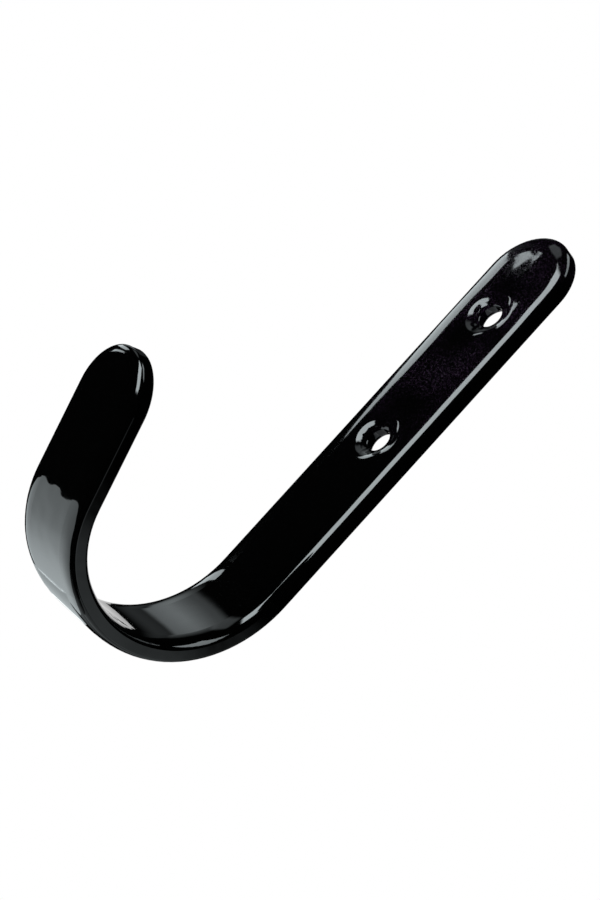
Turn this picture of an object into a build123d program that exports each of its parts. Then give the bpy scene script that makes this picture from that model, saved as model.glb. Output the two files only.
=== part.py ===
"""Stable hook: one flat steel bar, bent to a J and dip-coated in thick plastic.

The coated bar is one piece. Its long leg stands against the wall and takes two screws; the bar
then turns through a wide bend into a short leg that leans away from the wall. All sizes are
outside sizes over the coating, in millimetres.

Frame: +Z up, +Y out of the wall face and into the wall, so the hook opens towards -Y, and X
across the bar. The origin is on the wall face, midway between the two screw holes.
"""
from build123d import *
import os

# The bar, measured over its coating
WIDTH = 22.0
THICK = 4.9
EDGE_DROP = 1.45        # the coating rounds each corner in a quarter ellipse, this far down the side

# The bend line, along the middle of the bar's thickness
SCREW_PITCH = 35.0      # between the screw holes, which lie on the leg's centre line
TOP_MARGIN = 10.5       # upper screw hole to the centre of the rounded top end
BEND_MARGIN = 39.0      # lower screw hole down to the start of the bend
WALL_BEND_R = 27.4      # the bend leaves the long leg wide
WALL_BEND_ANGLE = 112.0
LIP_BEND_R = 22.2       # and closes a little tighter towards the short leg
LIP_BEND_ANGLE = 48.3
LIP_LENGTH = 18.9       # straight part of the short leg, up to the centre of its rounded end

# The screw holes
HOLE_R = 2.7
DISH_RUN = 3.7          # the coating starts to sink this far from the edge of the hole
DISH_ROUND = 4.9        # in a curve of this radius
DISH_SLOPE = 29.0       # until it slopes this many degrees
THROAT_DROP = 1.45      # the hole is plain from this far below the face
THROAT_EASE = (1.0, 0.5)  # the dish runs on nearly straight and turns tightly into the hole
BACK_RUN = 3.4          # on the wall side the lip is a quarter ellipse: this far across the back
BACK_DROP = 2.0         # and this far up the hole

LAND = 0.2              # flat face left between a dish and the rounded edges of the bar
EDGE_RUN = WIDTH / 2 - HOLE_R - DISH_RUN - LAND  # each rounded edge takes the rest of the face

UPPER_SCREW = SCREW_PITCH / 2
LOWER_SCREW = -SCREW_PITCH / 2


def half_section():
    """Right half of the bar's section, X across the bar and Y through its thickness."""
    flat, side = WIDTH / 2 - EDGE_RUN, THICK / 2 - EDGE_DROP
    front = EllipticalCenterArc((flat, -side), EDGE_RUN, EDGE_DROP, -90, arc_size=90)
    back = EllipticalCenterArc((flat, side), EDGE_RUN, EDGE_DROP, 0, arc_size=90)
    edge = Line(front @ 1, back @ 0)
    middle = Polyline(back @ 1, (0, THICK / 2), (0, -THICK / 2), front @ 0)
    return make_face(Curve() + [front, edge, back, middle])


def full_section():
    """Whole section: two flat faces and two softly rounded edges."""
    right = half_section()
    return right + mirror(right, Plane.YZ)


def straight(start, length):
    """A straight run down from the frame start, and the frame at its lower end."""
    return start * extrude(full_section(), -length), start * Pos(0, 0, -length)


def bend(start, radius, angle):
    """An arc that curls towards -Y from the frame start, and the frame at its far end."""
    turned = revolve(full_section(), Axis((0, -radius, 0), (-1, 0, 0)), angle)
    far_end = start * Pos(0, -radius, 0) * Rot(-angle, 0, 0) * Pos(0, radius, 0)
    return start * turned, far_end


def round_end(frame, turn):
    """A full-round end: half the section turned half a circle about the bar's thickness."""
    return frame * revolve(half_section(), Axis.Y, turn)


def bent_bar():
    """The bar from its rounded top, down the wall leg and round to its rounded lip."""
    top = Pos(0, -THICK / 2, UPPER_SCREW + TOP_MARGIN)
    leg, bend_start = straight(top, TOP_MARGIN + SCREW_PITCH + BEND_MARGIN)
    wide_bend, bend_middle = bend(bend_start, WALL_BEND_R, WALL_BEND_ANGLE)
    tight_bend, lip_start = bend(bend_middle, LIP_BEND_R, LIP_BEND_ANGLE)
    lip, lip_end = straight(lip_start, LIP_LENGTH)
    ends = [round_end(top, -180), round_end(lip_end, 180)]
    return leg + [wide_bend, tight_bend, lip, *ends]


def screw_hole(height):
    """What a screw hole removes: a dish at the front, a plain bore, and a wide lip at the back."""
    dish = JernArc((HOLE_R + DISH_RUN, -THICK), (-1, 0), DISH_ROUND, -DISH_SLOPE)
    throat = Spline(dish @ 1, (HOLE_R, THROAT_DROP - THICK),
                    tangents=[dish % 1, (0, 1)], tangent_scalars=THROAT_EASE)
    lip_middle = (HOLE_R + BACK_RUN, -BACK_DROP)
    lip = EllipticalCenterArc(lip_middle, BACK_RUN, BACK_DROP, 180, arc_size=-90)
    bore = Line(throat @ 1, lip @ 0)
    clear = THICK
    axis_side = Polyline(lip @ 1, lip @ 1 + (0, clear), (0, clear),
                         (0, -THICK - clear), dish @ 0 - (0, clear), dish @ 0)
    profile = make_face(Curve() + [dish, throat, bore, lip, axis_side])
    return Pos(0, 0, height) * revolve(profile, Axis.Y)


def stable_hook():
    """The finished hook."""
    return bent_bar() - screw_hole(UPPER_SCREW) - screw_hole(LOWER_SCREW)


os.makedirs("parts", exist_ok=True)
hook = stable_hook()
export_step(hook, "parts/hook.step")
print("hook", hook.volume, hook.bounding_box())
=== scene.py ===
# %% [markdown]
# # A stable hook in black dip coating
# The part is one flat steel bar, bent to a J and dipped in thick black plastic. Stables hang halters and
# lead ropes on such hooks, because the soft skin neither chips nor scratches. The bar's shape comes ready
# from the CAD model. This lesson adds what makes it look real: the camera, the studio, the lamps and the
# skin. A black gloss surface shows almost nothing but the lamps, so most of the work is in placing them.
# Blender counts in metres. Where millimetres read better, they are multiplied by MM.

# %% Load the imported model
import math

import bmesh
import bpy
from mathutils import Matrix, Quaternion, Vector


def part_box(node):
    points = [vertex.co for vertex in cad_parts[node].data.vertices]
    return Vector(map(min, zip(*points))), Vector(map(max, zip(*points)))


MM = 0.001

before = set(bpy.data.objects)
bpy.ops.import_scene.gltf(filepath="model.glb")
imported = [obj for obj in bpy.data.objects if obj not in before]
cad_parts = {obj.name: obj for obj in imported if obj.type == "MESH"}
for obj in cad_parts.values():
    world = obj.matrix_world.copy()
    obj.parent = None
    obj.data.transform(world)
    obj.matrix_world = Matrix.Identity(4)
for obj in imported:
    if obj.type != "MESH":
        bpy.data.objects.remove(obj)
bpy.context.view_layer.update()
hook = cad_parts["hook"]
hook_low, hook_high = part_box("hook")
hook_middle = (hook_low + hook_high) / 2
print("hook, in mm:", [round(side / MM, 1) for side in hook_high - hook_low])

# %% [markdown]
# ## The camera
# A long lens half a metre away keeps the two legs of the hook nearly parallel, as catalogues like it.
# The camera stands to the right of the hook and a little below it, and leans over, so that the long leg
# runs from corner to corner. A direction round the hook is written as an azimuth and an elevation, and
# one small function turns the pair into a vector. The lamps use it too.

# %% Place the camera
CAMERA_AZIMUTH = 51.97
CAMERA_ELEVATION = -6.04
CAMERA_LEAN = 42.36
CAMERA_DISTANCE = 0.5091
CAMERA_LENS = 101.98
CAMERA_CLIP = 0.01, 20
AIM_FROM_MIDDLE = Vector((6.69, 9.93, -8.17)) * MM


def heading(azimuth, elevation):
    """The direction from the hook: azimuth 0 is its front, 90 its right-hand side, elevation 90 above it."""
    around, up = math.radians(azimuth), math.radians(elevation)
    return Vector((math.sin(around) * math.cos(up), -math.cos(around) * math.cos(up), math.sin(up)))


def looking(direction, lean=0):
    """The turn of a camera or lamp that looks along direction, leaned over by lean degrees."""
    return direction.to_track_quat("-Z", "Y") @ Quaternion((0, 0, 1), math.radians(lean))


camera = bpy.data.objects.new("camera", bpy.data.cameras.new("camera"))
bpy.context.scene.collection.objects.link(camera)
camera.data.lens = CAMERA_LENS
camera.data.clip_start, camera.data.clip_end = CAMERA_CLIP
camera.rotation_mode = "QUATERNION"
camera_side = heading(CAMERA_AZIMUTH, CAMERA_ELEVATION)
camera.location = hook_middle + AIM_FROM_MIDDLE + camera_side * CAMERA_DISTANCE
camera.rotation_quaternion = looking(-camera_side, CAMERA_LEAN)
bpy.context.scene.camera = camera
print("camera, in mm:", [round(x / MM, 1) for x in camera.location])

# %% [markdown]
# ## Colours and nodes
# Colours are written as sRGB hex, the way a paint chart gives them. Blender's shaders work with linear
# light, so one function turns one into the other. Materials, lamps and the white world are all made of
# nodes. A second function adds a node with its settings and links, and a third makes room for them.

# %% Helpers for colours and nodes
def srgb(hex_colour):
    """Turns an sRGB hex colour into linear red, green, blue and alpha."""
    parts = [int(hex_colour[i : i + 2], 16) / 255 for i in (1, 3, 5)]
    return tuple(c / 12.92 if c <= 0.04045 else ((c + 0.055) / 1.055) ** 2.4 for c in parts) + (1,)


def add(tree, kind, inputs, **settings):
    """Adds one node. An input is a value, another node's output, or a node, for its first output."""
    node = tree.nodes.new("ShaderNode" + kind)
    for name, value in settings.items():
        setattr(node, name, value)
    for key, value in inputs.items():
        if isinstance(value, bpy.types.Node):
            value = value.outputs[0]
        if isinstance(value, bpy.types.NodeSocket):
            tree.links.new(value, node.inputs[key])
        else:
            node.inputs[key].default_value = value
    return node


def empty_tree(block):
    """Gives a material, world or lamp a node tree with nothing in it."""
    block.use_nodes = True
    block.node_tree.nodes.clear()
    return block.node_tree


print("middle grey, #808080, in linear light:", round(srgb("#808080")[0], 3))

# %% [markdown]
# ## The white background
# The hook is shown on plain white. The world is white to the camera, in mirrors and through glass, and it
# gives no other light, so the white never spills on the hook. The Light Path node tells which kind of ray
# asks.

# %% The world
world = bpy.data.worlds.new("white_background")
bpy.context.scene.world = world
tree = empty_tree(world)
ray = add(tree, "LightPath", {}).outputs
seen = add(tree, "Math", {0: ray["Is Camera Ray"], 1: ray["Is Glossy Ray"]}, operation="MAXIMUM")
seen = add(tree, "Math", {0: seen, 1: ray["Is Transmission Ray"]}, operation="MAXIMUM")
white = add(tree, "Background", {"Color": srgb("#FFFFFF"), "Strength": seen})
add(tree, "OutputWorld", {"Surface": white})
print("nodes in the world:", len(tree.nodes))

# %% [markdown]
# ## The floor
# The floor lies well below the hook, out of the camera's view. It is a plain painted disc, made with
# bmesh. It could be a square plane, but a disc shows no corner from any side. It is hidden from mirrors,
# or its pale paint would show in the outside of the bend, which is meant to mirror the lamps below.

# %% The floor
FLOOR_DROP = 0.125
FLOOR_RADIUS = 0.45
ROUND_SIDES = 96


def mesh_object(name, shape, material):
    """Turns a bmesh into an object in the scene."""
    mesh = bpy.data.meshes.new(name)
    shape.to_mesh(mesh)
    shape.free()
    mesh.materials.append(material)
    made = bpy.data.objects.new(name, mesh)
    bpy.context.scene.collection.objects.link(made)
    return made


def plain_material(name, colour, roughness):
    """One even, matt colour, for the floor and the cloth."""
    material = bpy.data.materials.new(name)
    tree = empty_tree(material)
    shader = add(tree, "BsdfPrincipled", {"Base Color": srgb(colour), "Roughness": roughness})
    add(tree, "OutputMaterial", {"Surface": shader})
    return material


disc = bmesh.new()
bmesh.ops.create_circle(disc, cap_ends=True, segments=ROUND_SIDES, radius=FLOOR_RADIUS)
bmesh.ops.translate(disc, verts=disc.verts, vec=(0, hook_middle.y, hook_low.z - FLOOR_DROP))
floor = mesh_object("floor", disc, plain_material("pale_floor_paint", colour="#D8D8D8", roughness=0.6))
floor.visible_glossy = False
print("floor below the hook, in mm:", round(FLOOR_DROP / MM))

# %% [markdown]
# ## The black cloth
# A gloss black object on white needs black round it, or it mirrors the white and turns grey. So a black
# cloth hangs round the studio on all sides, unseen by the camera, and it is open only behind the hook,
# where the white background shows. The skin mirrors that opening at its edges alone, where the camera
# looks along it. The cloth is a ball with the faces round the middle of the opening taken out.

# %% The cloth
CLOTH_RADIUS = 2.2
OPENING_AZIMUTH = -141
OPENING_ELEVATION = 6
OPENING_REACH = 23

ball = bmesh.new()
bmesh.ops.create_uvsphere(ball, u_segments=ROUND_SIDES, v_segments=ROUND_SIDES // 2, radius=CLOTH_RADIUS)
opening = heading(OPENING_AZIMUTH, OPENING_ELEVATION)
reach = math.radians(OPENING_REACH)
in_opening = [face for face in ball.faces if face.calc_center_median().angle(opening) < reach]
print("faces taken out of the cloth:", len(in_opening))
bmesh.ops.delete(ball, geom=in_opening, context="FACES")
cloth = mesh_object("black_cloth", ball, plain_material("black_cloth", colour="#050505", roughness=0.9))
cloth.visible_camera = False

# %% [markdown]
# ## Softboxes
# A softbox is a lamp behind white cloth, and Blender's area lamp is just that: a lit rectangle or oval. Its
# level here is how bright it looks, where a sheet of white paper in full light is 1. The plastic mirrors
# about four parts in a hundred, so a level of 8 shows on it as a light grey. Some boxes dim towards their
# edges, as real ones do: nodes measure how far a point of the lamp is from its middle and dim it there.
# A grid is a honeycomb in front of the cloth that lets light out in a narrow beam only. Blender makes such
# a lamp brighter to keep its power, and the last factor of the energy takes that back.

# %% A softbox
LAMP_COLOUR = "#F1FCFF"


def softbox(name, width, height, level, fade=(0, 0), shape="RECTANGLE", grid=180):
    """A lamp of this size. Fade is the share of its width and height that dims, grid its beam in degrees."""
    lamp = bpy.data.lights.new(name, "AREA")
    lamp.shape, lamp.size, lamp.size_y = shape, width, height
    lamp.color = srgb(LAMP_COLOUR)[:3]
    area = width * height * (math.pi / 4 if shape == "ELLIPSE" else 1)
    half_beam = math.radians(grid) / 2
    lamp.spread = 2 * half_beam
    lamp.energy = level * math.pi * area * (1 - half_beam / math.tan(half_beam))

    tree = empty_tree(lamp)
    across = add(tree, "SeparateXYZ", {0: add(tree, "TexCoord", {}).outputs["UV"]}).outputs
    glow = 1.0
    for side, share in zip("XY", fade):
        if share:
            offset = add(tree, "Math", {0: across[side], 1: 0.5}, operation="SUBTRACT")
            offset = add(tree, "Math", {0: offset}, operation="ABSOLUTE")
            fading = {"Value": offset, "From Min": 0.5, "From Max": 0.5 * (1 - share)}
            dim = add(tree, "MapRange", fading, interpolation_type="SMOOTHSTEP")
            glow = add(tree, "Math", {0: dim, 1: glow}, operation="MULTIPLY")
    add(tree, "OutputLight", {"Surface": add(tree, "Emission", {"Strength": glow})})

    box = bpy.data.objects.new(name, lamp)
    bpy.context.scene.collection.objects.link(box)
    box.visible_camera = False
    box.rotation_mode = "QUATERNION"
    return box


print("lamp colour in linear light:", [round(c, 3) for c in srgb(LAMP_COLOUR)[:3]])

# %% [markdown]
# ## The two long highlights
# A bright box in front draws the crisp line along the right edge of the long leg. A long, low one, far
# out to the left, draws the broader line along the left edge. Neither touches the flat face, which mirrors
# only the black cloth between them, and that is what makes the hook look so black. A small third box, low
# on the left, is seen only in the dish of the lower screw hole, where it draws the right half of a ring.
# One function stands each in its direction from the hook and turns it to face the hook.

# %% The key light, the left strip and the dish light
LAMP_CENTRE = Vector((0, -30, -20)) * MM


def on_stand(box, azimuth, elevation, distance, lean=0):
    """Stands the lamp in this direction, turned to the hook."""
    out = heading(azimuth, elevation)
    box.location = LAMP_CENTRE + out * distance
    box.rotation_quaternion = looking(-out, lean)
    print(box.name, "in mm:", [round(x / MM) for x in box.location])


key = softbox("key", width=0.215, height=0.53, level=8.0, fade=(0, 0.2))
on_stand(key, azimuth=-13.6, elevation=9, distance=0.63, lean=14)
left_strip = softbox("left_strip", width=0.68, height=0.2, level=3.7)
on_stand(left_strip, azimuth=-71.5, elevation=12.8, distance=1.5, lean=-10)
dish_light = softbox("dish_light", width=0.28, height=0.08, level=3.5)
on_stand(dish_light, azimuth=-64, elevation=-0.9, distance=1.2)

# %% [markdown]
# ## Light in the bend
# The inside of the bend looks up and to the left. A small soft box hangs there, only 20 cm away, and
# fills the bend with a grey that fades. Its grid keeps its light off the long leg, which would mirror it
# too. A faint, wide box farther out keeps the rest of the bend from going dead black.

# %% The lights for the bend
BEND_LIGHT_PLACE = Vector((-166, -41, 42)) * MM
BEND_LIGHT_AIM = Vector((166, 25, -120))

bend_light = softbox("bend_light", width=0.13, height=0.12, level=1.35, fade=(0.3, 0.8), grid=46)
bend_light.location = BEND_LIGHT_PLACE
bend_light.rotation_quaternion = looking(BEND_LIGHT_AIM)
print("bend_light in mm:", [round(x / MM) for x in bend_light.location])
bend_glow = softbox("bend_glow", width=0.5, height=0.45, level=0.1, fade=(0.9, 0.3))
on_stand(bend_glow, azimuth=-108, elevation=32, distance=1.1)

# %% [markdown]
# ## Light on the rounded ends
# The rims of the two rounded ends look up, and so they mirror what hangs high in the studio. A dim box
# puts a grey patch on the rim of the upper end and in the lower part of each dish. A bright one draws
# the small, crisp lines at both ends and along the edge of the bend.

# %% The lights for the ends
over_glow = softbox("over_glow", width=0.6, height=0.35, level=0.6, fade=(0.5, 0.5))
on_stand(over_glow, azimuth=-50, elevation=34, distance=1.1)
top = softbox("top", width=0.97, height=0.62, level=3.5)
on_stand(top, azimuth=20.4, elevation=66, distance=1.35, lean=129)

# %% [markdown]
# ## Light from below
# The outside of the bend looks down and to the left. A large oval box lies there, close by, with a
# brighter patch in it, and its reflection is the pale grey field with a dark upper end. A box that lies
# flat needs no direction, only a place and a turn.

# %% The low box
LOW_TURN = -34.8


def lying_flat(box, x, y, z, turn):
    """Lays the lamp flat with its light upwards. The place is in millimetres."""
    box.location = Vector((x, y, z)) * MM
    face_up = Quaternion((1, 0, 0), math.pi)
    box.rotation_quaternion = Quaternion((0, 0, 1), math.radians(turn)) @ face_up
    print(box.name, "in mm:", [round(x / MM) for x in box.location])


low_box = softbox("low_box", width=0.38, height=0.29, level=1.3, shape="ELLIPSE")
lying_flat(low_box, x=-199, y=-68, z=-195, turn=LOW_TURN)
low_glow = softbox("low_glow", width=0.24, height=0.24, level=0.7, fade=(1.0, 1.0))
lying_flat(low_glow, x=-110, y=-15, z=-194, turn=LOW_TURN)

# %% [markdown]
# ## Light on the edges
# Three dim boxes finish the edges. The first carries the grey round to the outline of the bend, the second
# gives the narrow side of the bar its dark grey, and the third lights the rim that looks down and away.

# %% The edge lights
back_low = softbox("back_low", width=0.21, height=0.42, level=0.85)
on_stand(back_low, azimuth=-122.5, elevation=-17, distance=1.5)
side_fill = softbox("side_fill", width=0.92, height=0.46, level=0.6, fade=(0.35, 0.35))
on_stand(side_fill, azimuth=122, elevation=-16, distance=0.8)
under_rim = softbox("under_rim", width=1.3, height=0.9, level=0.4)
on_stand(under_rim, azimuth=165, elevation=-48, distance=1.0)

# %% [markdown]
# ## Light for matt surfaces
# The black round the hook keeps light from the floor and from the dust layer as well, and they need some
# to show their colours; on the upper leg that layer also paints a dim reflection. A wide sheet overhead
# gives it. It is hidden from mirrors, so that it adds nothing to the reflections, as a polarising filter
# does in a real studio.

# %% The overhead sheet
overhead = softbox("overhead", width=1.0, height=1.0, level=2.0)
overhead.visible_glossy = False
on_stand(overhead, azimuth=0, elevation=88, distance=1.2)

# %% [markdown]
# ## The skin: black plastisol
# Plastisol is PVC stirred into an oil. The bar is heated, dipped in it and hung up, and the warm steel
# turns the liquid round it into a rubbery skin about a millimetre thick. It flows before it sets, so it
# is glossy and smooth, but not flat: it keeps long, low waves, a fine orange peel, and lumps where it
# drained through the screw holes. On black gloss those are what the eye sees, because they bend the
# reflections. All are under a millimetre high and spread wide, so they don't show in the outline and are
# made as bump, while the round edges and the dished holes are real shape.
#
# The first nodes turn the place on the hook into millimetres. The two screw holes are alike, so their
# height is counted from the nearer one: the Wrap step starts it anew halfway between them.

# %% Where a point lies, in millimetres
SCREW_HEIGHT = 17.5

skin = bpy.data.materials.new("black_plastisol_dip")
tree = empty_tree(skin)
raw = add(tree, "TexCoord", {}).outputs["Object"]
place = add(tree, "VectorMath", {0: raw, "Scale": 1 / MM}, operation="SCALE")
along = add(tree, "SeparateXYZ", {0: place}).outputs
off_middle = add(tree, "Math", {0: along["X"]}, operation="ABSOLUTE")
above_hole = add(tree, "Math", {0: along["Z"], 1: SCREW_HEIGHT}, operation="SUBTRACT")
above_hole = add(tree, "Math", {0: above_hole, 1: SCREW_HEIGHT, 2: -SCREW_HEIGHT}, operation="WRAP")
print("screw holes at", SCREW_HEIGHT, "mm above and below the origin")

# %% [markdown]
# ## Waves and orange peel
# Three random patterns of different size are used. Size and height are given in millimetres, as a gauge
# would read them. The waves and the peel cover the whole bar. The short leg drained last and has
# stronger ripples on its faces, which turn the upper edge of the grey field there into a row of drips.
# One function makes such a pattern. Another keeps it to one part of the bar and fades it out softly at
# the border.

# %% Waves, orange peel and ripples
WAVE_SIZE, WAVE_HEIGHT = 13.0, 0.14
PEEL_SIZE, PEEL_HEIGHT = 2.2, 0.006
RIPPLE_SIZE, RIPPLE_HEIGHT = 3.6, 0.10
RIPPLE_START, RIPPLE_FULL = -44, -50
SIDE_EDGE, FACE_EDGE = 10.6, 9.0


def uneven(size, height, detail=0.0):
    """Random ups and downs about zero, of this size and height in millimetres."""
    cloud = add(tree, "TexNoise", {"Vector": place, "Scale": 1 / size, "Detail": detail})
    return add(tree, "Math", {0: cloud, 1: height, 2: -height / 2}, operation="MULTIPLY_ADD")


def kept(pattern, value, start, full):
    """The pattern where value is beyond full, none of it before start, and a soft border between."""
    fading = {"Value": value, "From Min": start, "From Max": full}
    share = add(tree, "MapRange", fading, interpolation_type="SMOOTHSTEP")
    return add(tree, "Math", {0: pattern, 1: share}, operation="MULTIPLY")


waves = uneven(WAVE_SIZE, WAVE_HEIGHT)
peel = uneven(PEEL_SIZE, PEEL_HEIGHT)
ripples = kept(uneven(RIPPLE_SIZE, RIPPLE_HEIGHT), along["Y"], RIPPLE_START, RIPPLE_FULL)
ripples = kept(ripples, off_middle, SIDE_EDGE, FACE_EDGE)
print("waves of", WAVE_HEIGHT, "mm, orange peel of", PEEL_HEIGHT, "mm, ripples of", RIPPLE_HEIGHT, "mm")

# %% [markdown]
# ## A pool on the rounded end
# Dip coating gathers where it can't run off. On the rounded upper end it stands in a low pool, which
# tilts part of the end towards the left strip and puts an irregular bright patch there. It is a
# bell-shaped hill, and a share of its own height is lumps.

# %% The pool
POOL_HEIGHT = 0.65
POOL_MIDDLE, POOL_SPREAD = (2.0, 36.0), (4.5, 8.0)
POOL_LUMP_SIZE, POOL_LUMP_SHARE = 3.5, 0.35


def hill(x, z, middle, spread, height):
    """A bell-shaped hill. Middle and spread are in millimetres, across the bar and up it."""
    offset = add(tree, "CombineXYZ", {"X": x, "Z": z})
    offset = add(tree, "VectorMath", {0: offset, 1: (middle[0], 0, middle[1])}, operation="SUBTRACT")
    offset = add(tree, "VectorMath", {0: offset, 1: (spread[0], 1, spread[1])}, operation="DIVIDE")
    away = add(tree, "VectorMath", {0: offset}, operation="LENGTH").outputs["Value"]
    squared = add(tree, "Math", {0: away, 1: away}, operation="MULTIPLY")
    bell = add(tree, "Math", {0: math.exp(-0.5), 1: squared}, operation="POWER")
    return add(tree, "Math", {0: bell, 1: height}, operation="MULTIPLY")


pool = hill(along["X"], along["Z"], POOL_MIDDLE, POOL_SPREAD, POOL_HEIGHT)
pool_lumps = uneven(POOL_LUMP_SIZE, POOL_LUMP_SHARE)
pool = add(tree, "Math", {0: pool, 1: pool_lumps, 2: pool}, operation="MULTIPLY_ADD")
print("pool of", POOL_HEIGHT, "mm")

# %% [markdown]
# ## Swelling, drops and lumps at the screw holes
# Plastic also gathers at the screw holes. To the right of the upper one lies a swelling, whose soft step
# down to the hole shows as a bright patch. In each hole a drop fills the lower right of the dish, and
# small lumps crowd round the rim. The lumps are a fine pattern that is kept to a narrow ring. Both end
# well below the lower hole, or the height that starts anew would make a third set of them farther down.

# %% Swelling, drops and lumps
SWELL_HEIGHT = 0.2
SWELL_ABOVE_HOLE, SWELL_SPREAD = 2.7, 2.5
SWELL_FOOT, SWELL_TOP = 3.5, 6.5
UPPER_HALF_START, UPPER_HALF_FULL = 0, 5
DROP_HEIGHT = 0.4
DROP_MIDDLE, DROP_SPREAD = (2.4, -2.8), (1.6, 1.6)
LUMP_SIZE, LUMP_HEIGHT = 1.3, 0.14
RING_OUTSIDE, RING_INSIDE = 4.8, 3.6
HOLES_START, HOLES_FULL = -35, -33

swell = hill(0.0, above_hole, (0, SWELL_ABOVE_HOLE), (1, SWELL_SPREAD), SWELL_HEIGHT)
swell = kept(swell, along["X"], SWELL_FOOT, SWELL_TOP)
swell = kept(swell, along["Z"], UPPER_HALF_START, UPPER_HALF_FULL)
drops = hill(along["X"], above_hole, DROP_MIDDLE, DROP_SPREAD, DROP_HEIGHT)
drops = kept(drops, along["Z"], HOLES_START, HOLES_FULL)
hole_offset = add(tree, "CombineXYZ", {"X": along["X"], "Z": above_hole})
from_hole = add(tree, "VectorMath", {0: hole_offset}, operation="LENGTH").outputs["Value"]
lumps = kept(uneven(LUMP_SIZE, LUMP_HEIGHT), from_hole, RING_OUTSIDE, RING_INSIDE)
lumps = kept(lumps, along["Z"], HOLES_START, HOLES_FULL)
print("swelling of", SWELL_HEIGHT, "mm, drops of", DROP_HEIGHT, "mm, lumps of", LUMP_HEIGHT, "mm")

# %% [markdown]
# ## One height for the bump
# All the heights are added up and go to one bump node. Its distance turns a height of 1 into a real
# millimetre, so that every value above stays true.

# %% The bump
height = 0.0
for layer in (waves, peel, ripples, pool, swell, drops, lumps):
    height = add(tree, "Math", {0: layer, 1: height}, operation="ADD")
bump = add(tree, "Bump", {"Height": height, "Distance": MM})
print("a height of 1 is", MM, "m")

# %% [markdown]
# ## Dust, and a painted dim reflection
# PVC is faintly sticky, and dust from handling shows on black at once, most of all on the flat upper
# part of the leg. A fine pattern leaves specks, a broad one gathers them in patches, and both stay off
# the narrow sides. On the upper leg the same violet-grey layer also paints the dim reflection that lies
# there. Real dust is finer than the render can show, so the specks are drawn 0.3 mm across.

# %% Dust, and a painted dim reflection
SPECK_SIZE, SPECK_START, SPECK_FULL = 0.3, -0.05, 0.3
PATCH_SIZE, PATCH_START, PATCH_FULL = 9.0, -0.35, 0.2
DUST_AND_REFLECTION_START, DUST_AND_REFLECTION_FULL = -25, 5

# Dust specks and patches; the same layer also paints the dim violet-grey reflection on the upper leg.
dust_and_reflection = kept(1.0, uneven(SPECK_SIZE, 1.0, detail=1.0), SPECK_START, SPECK_FULL)
dust_and_reflection = kept(dust_and_reflection, uneven(PATCH_SIZE, 1.0), PATCH_START, PATCH_FULL)
dust_and_reflection = kept(dust_and_reflection, along["Z"], DUST_AND_REFLECTION_START, DUST_AND_REFLECTION_FULL)
dust_and_reflection = kept(dust_and_reflection, off_middle, SIDE_EDGE, FACE_EDGE)
print("dust from z =", DUST_AND_REFLECTION_START, "mm upwards, full at", DUST_AND_REFLECTION_FULL, "mm")

# %% [markdown]
# ## The finished skin
# The coating is nearly pure black, and a roughness of 0.045 is that of a skin that flowed out before it
# set. PVC has an index of refraction of about 1.53. The dust layer is a little paler, with a violet
# tinge, and more matt, so it changes both the colour and the roughness. On the upper leg its violet
# tinge also paints a dim reflection.

# %% The finished skin
COATING_COLOUR, DUST_AND_REFLECTION_COLOUR = "#020202", "#5C4060"
COATING_ROUGHNESS, DUST_ROUGHNESS = 0.045, 0.2
DUST_AND_REFLECTION_COVER = 0.24
PVC_IOR = 1.53

# The paler violet mix is dust, and on the upper leg it also paints a dim reflection.
dust_and_reflection_share = add(tree, "Math", {0: dust_and_reflection, 1: DUST_AND_REFLECTION_COVER}, operation="MULTIPLY")
# Sockets 6 and 7 of the Mix node are its two colours, and output 2 is the colour they make.
shades = {0: dust_and_reflection_share, 6: srgb(COATING_COLOUR), 7: srgb(DUST_AND_REFLECTION_COLOUR)}
colour = add(tree, "Mix", shades, data_type="RGBA").outputs[2]
matting = {0: dust_and_reflection, 1: DUST_ROUGHNESS - COATING_ROUGHNESS, 2: COATING_ROUGHNESS}
roughness = add(tree, "Math", matting, operation="MULTIPLY_ADD")
finish = {"Base Color": colour, "Roughness": roughness, "IOR": PVC_IOR, "Normal": bump}
add(tree, "OutputMaterial", {"Surface": add(tree, "BsdfPrincipled", finish)})
hook.material_slots[0].material = skin
print("nodes in the skin:", len(tree.nodes))

# %% [markdown]
# ## Finish
# The Standard view shows colours as they were written.

# %% View settings
bpy.context.scene.view_settings.view_transform = "Standard"
